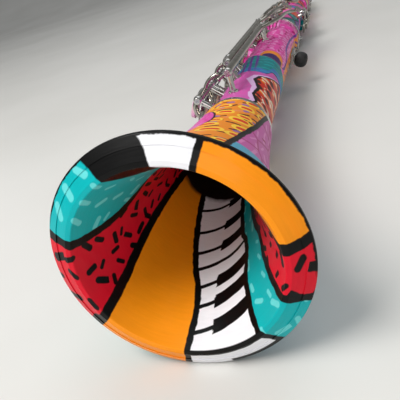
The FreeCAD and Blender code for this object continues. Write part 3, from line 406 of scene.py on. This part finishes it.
def paint_mouth(p):
    """The rim's face and the inside of the bell, which share one row of bands."""
    p.depth = mouth_depth(p)
    turn = round_mouth(p)
    u, v = turn * math.radians(27.0), p.depth
    wobble = p.noise(3.5, 3.0)

    def after(boundary):
        """The part past a boundary, counted on from the seam."""
        return turn.above(p.depth.profile(boundary[0]), 0.4)

    p.coat(ORANGE, 1.0)
    dashed_red(p, u, v, after(orange_red))
    stroked_teal(p, u, v, after(red_teal))
    p.coat(WHITE, after(teal_keys))
    paint_keys(p, turn)
    p.coat(ORANGE, after(keys_orange))
    dashed_red(p, u, v, after(orange_dashes), seed=2.0)
    stroked_teal(p, u, v, after(dashes_teal))
    p.coat(BLACK, after(teal_black))
    p.coat(WHITE, after(black_white))
    p.coat(ORANGE, after(white_orange))
    for boundary in (
        orange_red, red_teal, teal_keys, keys_orange, orange_dashes, dashes_teal, white_orange,
    ):
        p.coat(BLACK, ink(p, turn, boundary, wobble))
    # Deep in the throat the colour turns near black, darker past throat_depth.
    p.coat(THROAT_DARK, p.depth.above(throat_depth + p.noise(4.0) * 3.0, 1.5))


def paint_keys(p, turn):
    """The piano's keys, on the white band."""
    band = turn.within(teal_keys[0][0][1] + 1, keys_orange[0][-1][1], 0.3)
    level = p.depth - (key_side - turn) * key_slope + p.noise(6.0) * 0.8
    black_end = key_tips + p.noise(2.5) * 6.0
    lines = None
    for gap in key_gaps:
        across = (level - gap).abs()
        mark = across.below(0.8)
        if gap != key_without_black:
            mark = mark.max(across.below(2.5) * turn.below(black_end, 0.3))
        lines = mark if lines is None else lines.max(mark)
    lip_line = p.depth.within(-2.3 + p.noise(6.0) * 1.2, 0.2)
    outer_line = p.depth.below(-6.5) * turn.below(168.0, 0.4)
    inside = p.depth.above(0.2)
    p.coat(BLACK, band * (lines * inside).max(lip_line).max(outer_line))


# On the outside of the bell.  The first two give an angle against the height, and the third a height
# against the angle.
band_centre = [
    (6, 26), (36, 33.5), (49, 38.3), (59, 43), (69, 48.5), (79, 55.3), (89, 60.5), (99, 67), (112, 76),
]
lobe_edge = [
    (6, -52), (36, -34), (52, -18), (66, -3), (73, 2), (79, 0.5), (84, -4), (89, -13), (96, -34), (112, -60),
]
sky_edge = [(36, 44.5), (62, 45.5), (80, 52), (100, 62), (170, 66)]
far_side_seam = 165.0   # where teal takes over on the side away from the light


def paint_outside(p):
    """The back of the bell, from the rim to the socket ring."""
    turn = p.angle + p.noise(6.0, 3.0) * 2.4
    u, v = turn * math.radians(21.0), p.y
    wobble = p.noise(3.5, 3.0)
    behind = turn + turn.below(-90.0, 0.001) * 360.0
    lined_pink(p, u, v, 1.0)
    centre = p.y.profile(band_centre)
    right = behind.above(centre, 0.4)
    p.coat(SKY, right * p.y.below(behind.profile(sky_edge), 0.5) * behind.below(far_side_seam, 0.4))
    stroked_teal(p, u, v, behind.above(far_side_seam, 0.4))
    p.coat(BLACK, p.apart(behind, far_side_seam).below(1.0 + wobble))
    lobe = p.y.profile(lobe_edge)
    eyed_orange(p, u, v, behind.above(lobe, 0.4) * behind.below(centre, 0.4))
    p.coat(BLACK, p.apart(turn, lobe).below(0.45 + wobble * 0.6) * p.y.within(66.0, 88.0, 2.0))
    p.coat(HOT_PINK, turn.within(-22.0, lobe - 2.0, 2.0) * p.y.within(68.0, 86.0, 1.5) * 0.7)
    p.coat(BLACK, p.apart(behind, centre).below(1.15 + wobble * 0.9))


def bell_paint():
    """The mouth's bands inside and on the face, and the outside's fields behind them."""
    p = Painting("bell_paint", PINK)
    paint_outside(p)
    outside = p.colour
    p.colour = ORANGE
    paint_mouth(p)
    wall_middle = p.y.profile([
        (3, 37.2), (9, 33.0), (16, 28.4), (28, 23.6), (44, 19.2), (63, 16.0), (90, 14.0),
    ])
    is_outside = p.radius.above(wall_middle, 0.02) * p.y.above(2.9, 0.05)
    p.colour = p.mixed(p.colour, outside, is_outside)
    return p.finish()


def rim_paint():
    """The outermost step of the rim: the same bands, with a ragged black outline on the upper side."""
    p = Painting("rim_paint", ORANGE)
    paint_mouth(p)
    turn = p.angle
    edge = p.depth.below(-face_width + 0.6 + p.noise(2.2, 3.0) * 1.0)
    outline = edge.max(p.y.above(3.4, 0.15)) * turn.within(-62.0, 100.0, 4.0)
    p.coat(BLACK, outline)
    front = p.colour
    paint_outside(p)
    p.colour = p.mixed(front, p.colour, p.y.above(4.6 + p.noise(4.0) * 0.5, 0.1))
    p.coat(BLACK, p.y.within(4.5, 5.2, 0.15))
    return p.finish()


# ---------------------------------------------------------------- the lower joint
# The zigzag gives an angle against the height over the bell, and the bands a height against the angle.
zigzag = [
    (0, 36), (4, 40), (7, 46), (16, 34), (27, 39), (40, 24), (48, 32), (51, 46), (56, 60), (62, 78), (70, 104),
]
lilac_width = [(0, 9), (10, 15), (18, 9), (30, 16), (40, 17), (50, 12)]
band_bottom = [(-80, 74), (-30, 62), (0, 57), (30, 56), (45, 60), (60, 68), (78, 66), (110, 62)]
band_top = [(-80, 122), (-30, 106), (0, 99), (20, 96), (60, 94), (78, 90), (110, 84)]
arch_top = [(8, 92), (20, 104), (40, 108), (58, 106), (70, 96)]
brushed_pitch = 17.0    # the brushed reds repeat after this height
brushed_shades = (
    (0.0, SALMON), (0.07, CREAM), (0.14, MINT), (0.2, SALMON), (0.3, BRICK), (0.6, BRICK), (0.78, ORANGE),
    (0.86, CREAM), (0.92, BRICK), (1.0, SALMON),
)


def paint_lower_front(p, u, height, turn, wobble):
    """Pink with a lilac zigzag on the left of the zigzag line, and brushed reds on its right."""
    line = height.profile(zigzag, straight=True)
    p.coat(PINK, 1.0)
    p.coat(HOT_PINK, p.strokes(u, height, (4.0, 12.0), 11.0, 1.4, lean=85, spread=30, seed=3.0) * 0.25)
    lilac = turn.within(line - height.profile(lilac_width, straight=True), line, 0.6)
    p.coat(LILAC, lilac)
    right = turn.above(line, 0.5)
    paint_brushed_reds(p, u, height, turn, right)
    p.coat(BLACK, p.apart(turn, line).below(0.85 + wobble * 0.8))


def paint_brushed_reds(p, u, height, turn, mask):
    """Bands of red with dark eyes between pale, mint and salmon strokes."""
    slanted = height + turn * 0.13 + p.noise(4.0, 3.0) * 2.6
    share = (slanted / brushed_pitch).fraction()
    p.coat(colour_ramp(p.tree, share, brushed_shades), mask)
    slant = {"lean": 115, "spread": 30}
    p.coat(CREAM, mask * p.strokes(u, height, (6.0, 8.0), 7.0, 1.0, seed=41.0, keep=0.45, **slant))
    p.coat(BRICK, mask * p.strokes(u, height, (7.0, 9.0), 8.0, 4.4, seed=43.0, keep=0.8, **slant))
    p.coat(UMBER, mask * p.strokes(u, height, (7.0, 9.0), 6.0, 2.6, seed=43.0, keep=0.8, **slant))


def paint_blue_band(p, u, height, turn, wobble):
    """A teal and blue band with violet stripes at its left."""
    low, high = turn.profile(band_bottom), turn.profile(band_top)
    band = height.within(low, high, 0.4)
    p.coat(DEEP_TEAL, band)
    p.coat(BLUE, band * height.below(low + 9.0 + p.noise(7.0) * 9.0, 1.5))
    p.coat(TEAL, band * p.strokes(u, height, (7.0, 7.0), 8.0, 1.6, lean=20, spread=60, seed=9.0) * 0.6)
    slanted = turn + height * 0.35
    stripe = ((slanted / 15.0).fraction() - 0.5).abs().below(0.22, 0.05)
    p.coat(VIOLET, band * stripe * turn.below(14.0, 3.0))
    under = (height - low).abs().below(0.6 + wobble * 0.7) * turn.above(40.0, 2.0)
    p.coat(BLACK, under)
    return high


def paint_upper_half(p, u, height, turn, top, wobble):
    """Hot pink up to the ring, over a violet arch outlined in orange."""
    above = height.above(top, 0.4)
    mottled_pink(p, u, height, above)
    arch = turn.profile(arch_top)
    outline = height.below(arch + 9.0 + p.noise(6.0) * 5.0, 0.8)
    p.coat(FIELD_ORANGE, above * outline * turn.within(2.0, 84.0, 2.0))
    p.coat(DEEP_VIOLET, above * height.below(arch, 0.5) * turn.within(12.0, 68.0, 1.5))
    curl = (turn - height.profile([(96, 70), (116, 84), (150, 66), (200, 74)])).abs() * 0.26
    p.coat(VIOLET, above * curl.below(0.9 + wobble))
    right = above * turn.above(86.0, 1.5)
    p.coat(FIELD_ORANGE, right)
    p.coat(VIOLET, right * p.strokes(u, height, (6.0, 9.0), 8.0, 1.6, lean=60, spread=60, seed=15.0))
    rays = ((turn / 11.0).fraction() - 0.5).abs().below(0.17 + p.noise(5.0) * 0.16, 0.05)
    near_ring = height.above(lower_length - 34.0 + p.noise(8.0) * 16.0, 1.0)
    p.coat(MAROON, rays * near_ring * turn.below(16.0, 4.0))


def lower_paint():
    p = Painting("lower_paint", PINK)
    turn = p.angle + p.noise(6.0, 3.0) * 3.0
    height = p.y - bell_end + p.noise(7.0, 2.0) * 1.6
    u = turn * math.radians(14.6)
    wobble = p.noise(3.5, 3.0)
    paint_lower_front(p, u, height, turn, wobble)
    top = paint_blue_band(p, u, height, turn, wobble)
    paint_upper_half(p, u, height, turn, top, wobble)
    back = turn.above(118.0, 0.5).max(turn.below(-96.0, 0.5))
    patchwork(p, u, height, back, 17.0, 4.0)
    for edge in (118.0, -96.0):
        p.coat(BLACK, ((turn - edge).abs() * 0.25).below(0.8 + wobble))
    return p.finish()


# ---------------------------------------------------------------- the upper joint and the barrel
def upper_paint():
    """Patches of warm colours, with two broad hot pink arcs."""
    p = Painting("upper_paint", RED)
    turn = p.angle + p.noise(6.0, 3.0) * 3.0
    height = p.y - lower_end
    u = turn * math.radians(13.8)
    patchwork(p, u, height, 1.0, 15.0, 9.0)
    low_arc = (height - turn.profile([(-60, 40), (10, 74), (48, 92), (80, 70), (120, 40)])).abs()
    high_arc = (height - turn.profile([(-90, 176), (-30, 150), (10, 124), (40, 128), (90, 170)])).abs()
    for arc in (low_arc, high_arc):
        p.coat(BLACK, arc.below(10.2))
        p.coat(HOT_PINK, arc.below(9.2))
        p.coat(PALE_PINK, arc.below(9.2) * p.strokes(u, height, (5.0, 6.0), 5.0, 1.8, seed=23.0) * 0.7)
    return p.finish()


def barrel_paint():
    """Orange and yellow eyes between two black lines, over pink ends."""
    p = Painting("barrel_paint", PINK)
    turn = p.angle + p.noise(6.0, 3.0) * 3.0
    height = p.y - barrel_start + p.noise(6.0) * 2.0
    u = turn * math.radians(15.4)
    length = barrel_end - barrel_start
    mottled_pink(p, u, height, 1.0)
    eyed_orange(p, u, height, height.within(length * 0.3, length * 0.7, 0.3))
    for share in (0.3, 0.7):
        p.coat(BLACK, (height - length * share).abs().below(0.8))
    return p.finish()


# ---------------------------------------------------------------- plain materials
class Surface:
    """A material of one kind of stuff, with its colour, roughness and relief from noise."""

    def __init__(self, name, colour, roughness, metallic=0.0):
        self.material = bpy.data.materials.new(name)
        self.material.use_nodes = True
        self.tree = self.material.node_tree
        self.shader = self.tree.nodes["Principled BSDF"]
        self.shader.inputs["Base Color"].default_value = colour
        self.shader.inputs["Roughness"].default_value = roughness
        self.shader.inputs["Metallic"].default_value = metallic
        self.place = self.tree.nodes.new("ShaderNodeTexCoord").outputs["Object"]

    def noise(self, size, detail=3.0, stretch=(1, 1, 1)):
        spread = self.tree.nodes.new("ShaderNodeMapping")
        spread.inputs["Scale"].default_value = stretch
        self.tree.links.new(self.place, spread.inputs["Vector"])
        node = self.tree.nodes.new("ShaderNodeTexNoise")
        node.inputs["Scale"].default_value = MM / size
        node.inputs["Detail"].default_value = detail
        self.tree.links.new(spread.outputs[0], node.inputs["Vector"])
        return node.outputs["Fac"]

    def colour(self, value, *shades):
        self.tree.links.new(colour_ramp(self.tree, value, shades), self.shader.inputs["Base Color"])
        return self

    def roughness(self, value, low, high):
        node = self.tree.nodes.new("ShaderNodeMapRange")
        node.inputs["From Min"].default_value = 0.3
        node.inputs["From Max"].default_value = 0.7
        node.inputs["To Min"].default_value = low
        node.inputs["To Max"].default_value = high
        self.tree.links.new(value, node.inputs["Value"])
        self.tree.links.new(node.outputs[0], self.shader.inputs["Roughness"])
        return self

    def relief(self, value, strength, depth_mm):
        node = self.tree.nodes.new("ShaderNodeBump")
        node.inputs["Strength"].default_value = strength
        node.inputs["Distance"].default_value = depth_mm / MM
        self.tree.links.new(value, node.inputs["Height"])
        self.tree.links.new(node.outputs[0], self.shader.inputs["Normal"])
        return self


def nickel(name, tone):
    """Nickel plating that hands have dulled in places, with fine scratches."""
    dark = tuple(v * 0.72 for v in tone[:3]) + (1.0,)
    s = Surface(name, tone, 0.2, metallic=1.0)
    tarnish = s.noise(7.0, 4.0)
    s.colour(tarnish, (0.3, dark), (0.55, tone), (1.0, tone)).roughness(s.noise(4.0, 4.0), 0.1, 0.3)
    return s.relief(s.noise(0.5, 2.0, (1, 0.2, 1)), 0.05, 0.05).material


def painted_key(tone):
    """A plated key whose little finger touch piece is painted pink, with pale stripes across it."""
    p = Painting("painted_key", HOT_PINK)
    slanted = p.y + p.angle * 0.12 + p.noise(5.0) * 1.6
    share = (slanted / 5.0).fraction()
    p.coat(PALE_PINK, share.below(0.46, 0.1))
    p.coat(CREAM, share.within(0.1, 0.28, 0.1) * 0.7)
    painted = p.radius.above(touch_floor, 0.05) * p.angle.below(-68.0, 1.0) * p.y.within(*touch_span, 0.2)
    p.colour = p.mixed(tone, p.colour, painted)
    material = p.finish(coat=0.2)
    shader = next(n for n in material.node_tree.nodes if n.type == "BSDF_PRINCIPLED")
    feed(p.tree, shader.inputs["Metallic"], 1.0 - painted)
    feed(p.tree, shader.inputs["Roughness"], painted * 0.22 + 0.16 + p.noise(4.0) * 0.14)
    return material


def steel():
    s = Surface("ground_steel", rgb(176, 178, 184), 0.25, metallic=1.0)
    return s.roughness(s.noise(0.6, 3.0, (1, 0.1, 1)), 0.16, 0.36).material


def blued_steel():
    s = Surface("blued_steel", rgb(46, 58, 110), 0.3, metallic=1.0)
    return s.colour(s.noise(5.0), (0.3, rgb(30, 40, 92)), (0.7, rgb(84, 74, 96))).material


def rubber():
    s = Surface("black_rubber", rgb(20, 20, 21), 0.62)
    s.colour(s.noise(2.5), (0.3, rgb(14, 14, 15)), (0.7, rgb(32, 31, 31)))
    return s.roughness(s.noise(1.2), 0.5, 0.75).relief(s.noise(0.45, 2.0), 0.3, 0.12).material


def ebonite():
    s = Surface("hard_rubber", rgb(17, 17, 18), 0.14)
    s.colour(s.noise(12.0), (0.3, rgb(12, 12, 13)), (0.7, rgb(26, 24, 22)))
    return s.roughness(s.noise(3.0, 4.0), 0.08, 0.2).material


def cane():
    s = Surface("cane", rgb(206, 170, 96), 0.5)
    fibres = s.noise(0.7, 3.0, (1, 0.04, 1))
    s.colour(fibres, (0.25, rgb(168, 128, 62)), (0.5, rgb(208, 172, 98)), (0.8, rgb(228, 200, 134)))
    return s.relief(fibres, 0.3, 0.08).material


def cork():
    s = Surface("cork", rgb(172, 124, 78), 0.8)
    grain = s.noise(0.9, 4.0)
    s.colour(grain, (0.32, rgb(96, 60, 34)), (0.45, rgb(170, 122, 76)), (0.8, rgb(196, 150, 100)))
    return s.relief(grain, 0.6, 0.15).material


def pad_skin():
    s = Surface("pad_skin", rgb(228, 214, 176), 0.45)
    s.colour(s.noise(2.2), (0.3, rgb(206, 184, 138)), (0.7, rgb(238, 228, 198)))
    s.shader.inputs["Coat Weight"].default_value = 0.25
    return s.relief(s.noise(0.8, 3.0), 0.25, 0.08).material


# ---------------------------------------------------------------- dressing the frame
def dress(material, *nodes):
    for node in nodes:
        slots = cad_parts[node].data.materials
        slots.clear()
        slots.append(material)


def round_corners(*nodes):
    """Shades curved faces smoothly and leaves real edges crisp."""
    for node in nodes:
        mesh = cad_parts[node].data
        mesh.shade_smooth()
        mesh.set_sharp_from_angle(angle=math.radians(32.0))


def dress_frame():
    plating = nickel("nickel", rgb(196, 194, 190))
    # The keys get a darker copy of the plating's nickel: painted shade for keywork lying in shadow and
    # mirroring a dark room.
    shaded_key_tone = rgb(168, 163, 154)
    shaded_key_plating = nickel("shaded_key_nickel", shaded_key_tone)
    skin = pad_skin()
    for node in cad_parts:
        if node.endswith(("_key", "_lever")) or node.startswith("trill_key"):
            dress(shaded_key_plating, node)
        elif "_pad" in node:
            dress(skin, node)
    dress(painted_key(shaded_key_tone), "low_e_key")
    dress(bell_paint(), "bell")
    dress(rim_paint(), "bell_rim_ring")
    dress(lower_paint(), "lower_joint")
    dress(upper_paint(), "upper_joint")
    dress(barrel_paint(), "barrel")
    dress(
        plating, "bell_socket_ring", "middle_socket_ring", "barrel_rings", "ligature", "ligature_screws",
        "vent_tubes", "thumb_rest", "thumb_rest_screws", "lower_joint_posts", "upper_joint_posts",
    )
    dress(steel(), "hinge_rods")
    dress(blued_steel(), "needle_springs")
    dress(ebonite(), "mouthpiece")
    dress(cane(), "reed")
    dress(cork(), "tenon_corks")
    round_corners(*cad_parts)


# ---------------------------------------------------------------- the thumb rest's rubber sleeve
cushion_reach = 5.0     # half its length out from the bore, in millimetres
cushion_width = 5.6     # half its width across
cushion_swell = 2.6     # 2 is an egg, and more is squarer
rib_pitch = 1.5
rib_height = 0.14


def bulge(way, swell):
    """How far out a rounded block of half size 1 reaches in a direction."""
    return sum(abs(v) ** swell for v in way) ** (-1.0 / swell)


def make_cushion():
    """A soft sleeve bulging over the hook, with fine grip ribs round it and a pinched open end."""
    low, high = (Vector(corner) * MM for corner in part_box("thumb_rest_cushion"))
    middle = (low + high) / 2
    half_height = (high.y - low.y) / 2
    outward = Vector((middle.x, 0.0, middle.z)).normalized()
    along = Vector((0.0, 1.0, 0.0))
    aside = along.cross(outward)
    form = bmesh.new()
    bmesh.ops.create_uvsphere(form, u_segments=72, v_segments=96, radius=1.0)
    for vertex in form.verts:
        way = vertex.co.normalized()
        size = bulge(way, cushion_swell)
        flank = 1.0 - abs(way.z) ** 4
        height = way.z * size * half_height
        rib = rib_height * (0.5 + 0.5 * math.cos(height / rib_pitch * 2 * math.pi)) * flank
        pinch = 0.12 * max(0.0, -way.x) ** 3
        across = 1.0 - rib / cushion_width - pinch
        reach = 1.0 - rib / cushion_reach
        place = middle + outward * (way.x * size * cushion_reach * reach)
        place += aside * (way.y * size * cushion_width * across) + along * (height * (1.0 - pinch))
        vertex.co = place / MM
    bmesh.ops.recalc_face_normals(form, faces=form.faces)
    mesh = bpy.data.meshes.new("thumb_cushion_sleeve")
    form.to_mesh(mesh)
    form.free()
    mesh.shade_smooth()
    sleeve = bpy.data.objects.new("thumb_cushion_sleeve", mesh)
    bpy.context.scene.collection.objects.link(sleeve)
    mesh.materials.append(rubber())
    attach(sleeve, "clarinet_body")
    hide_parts("thumb_rest_cushion")


# ---------------------------------------------------------------- floor, lights and camera
floor_size = 12.0       # from here on, metres
sweep_start = 2.0
sweep_rise = 0.25
floor_gap = 0.0002
eye = Vector((0.0529, -0.106, 0.0717))
gaze = Vector((-0.3178, 0.8526, -0.4149))
camera_roll = -16.1     # degrees
sensor_width = 36.0     # millimetres, as is the lens
focal_length = 43.8


def tilt_of_floor():
    """The clarinet lies on its rim and on the barrel's far ring, so the floor rises a little towards it."""
    run = barrel_end - (rim_back - rim_ring_depth)
    return math.atan2(rim_radius - radius_of("barrel_rings"), run)


def make_floor():
    """A wide sheet of pale paper under the clarinet, which sweeps up far behind it."""
    tilt = tilt_of_floor()
    touch = Vector((0.0, (rim_back - rim_ring_depth) / MM, -rim_radius / MM))
    bpy.ops.mesh.primitive_grid_add(x_subdivisions=60, y_subdivisions=60, size=floor_size)
    floor = bpy.context.object
    floor.name = "floor"
    for vertex in floor.data.vertices:
        beyond = max(0.0, vertex.co.y - sweep_start)
        vertex.co.z = sweep_rise * beyond * beyond
    floor.data.shade_smooth()
    lowered = Matrix.Translation(touch - Vector((0.0, 0.0, floor_gap)))
    floor.matrix_world = lowered @ Matrix.Rotation(tilt, 4, "X")
    s = Surface("floor_paper", rgb(217, 216, 212), 0.6)
    s.colour(s.noise(220.0), (0.3, rgb(211, 210, 205)), (0.7, rgb(222, 221, 217)))
    s.relief(s.noise(6.0, 4.0), 0.05, 0.2)
    floor.data.materials.append(s.material)


def softbox(name, place, target, size, watts, colour=(1.0, 1.0, 1.0)):
    """A square light of that size in metres, turned towards the target."""
    light = bpy.data.lights.new(name, "AREA")
    light.shape = "RECTANGLE"
    light.size = light.size_y = size
    light.energy = watts
    light.color = colour
    lamp = bpy.data.objects.new(name, light)
    lamp.location = place
    lamp.rotation_euler = (Vector(target) - Vector(place)).to_track_quat("-Z", "Y").to_euler()
    bpy.context.scene.collection.objects.link(lamp)


def make_lights():
    middle = (0.0, 0.1, 0.0)
    mouth = (0.0, 0.0, 0.0)
    softbox("window", (-0.45, -0.42, 0.92), middle, 0.55, 11.5, (1.0, 0.985, 0.965))
    softbox("front_fill", (0.12, -0.62, 0.2), mouth, 0.35, 0.95)
    softbox("ceiling", (0.3, 0.9, 1.6), middle, 1.6, 9.0, (0.96, 0.98, 1.0))
    world = bpy.data.worlds.new("studio")
    world.use_nodes = True
    backdrop = world.node_tree.nodes["Background"]
    backdrop.inputs["Color"].default_value = rgb(232, 234, 236)
    backdrop.inputs["Strength"].default_value = 0.34
    bpy.context.scene.world = world


def make_camera():
    """The viewer stands before the bell, a little above it and to its right, with the camera rolled."""
    ahead = gaze.normalized()
    roll = math.radians(camera_roll)
    level = ahead.cross(Vector((0.0, 0.0, 1.0))).normalized()
    rise = level.cross(ahead)
    right = level * math.cos(roll) + rise * math.sin(roll)
    up = rise * math.cos(roll) - level * math.sin(roll)
    lens = bpy.data.cameras.new("camera")
    lens.sensor_width = sensor_width
    lens.lens = focal_length
    lens.clip_start = 0.005
    camera = bpy.data.objects.new("camera", lens)
    turned = Matrix((right, up, -ahead)).transposed().to_4x4()
    camera.matrix_world = Matrix.Translation(eye) @ turned
    bpy.context.scene.collection.objects.link(camera)
    bpy.context.scene.camera = camera


bpy.context.scene.view_settings.view_transform = "Standard"
dress_frame()
make_cushion()
make_floor()
make_lights()
make_camera()
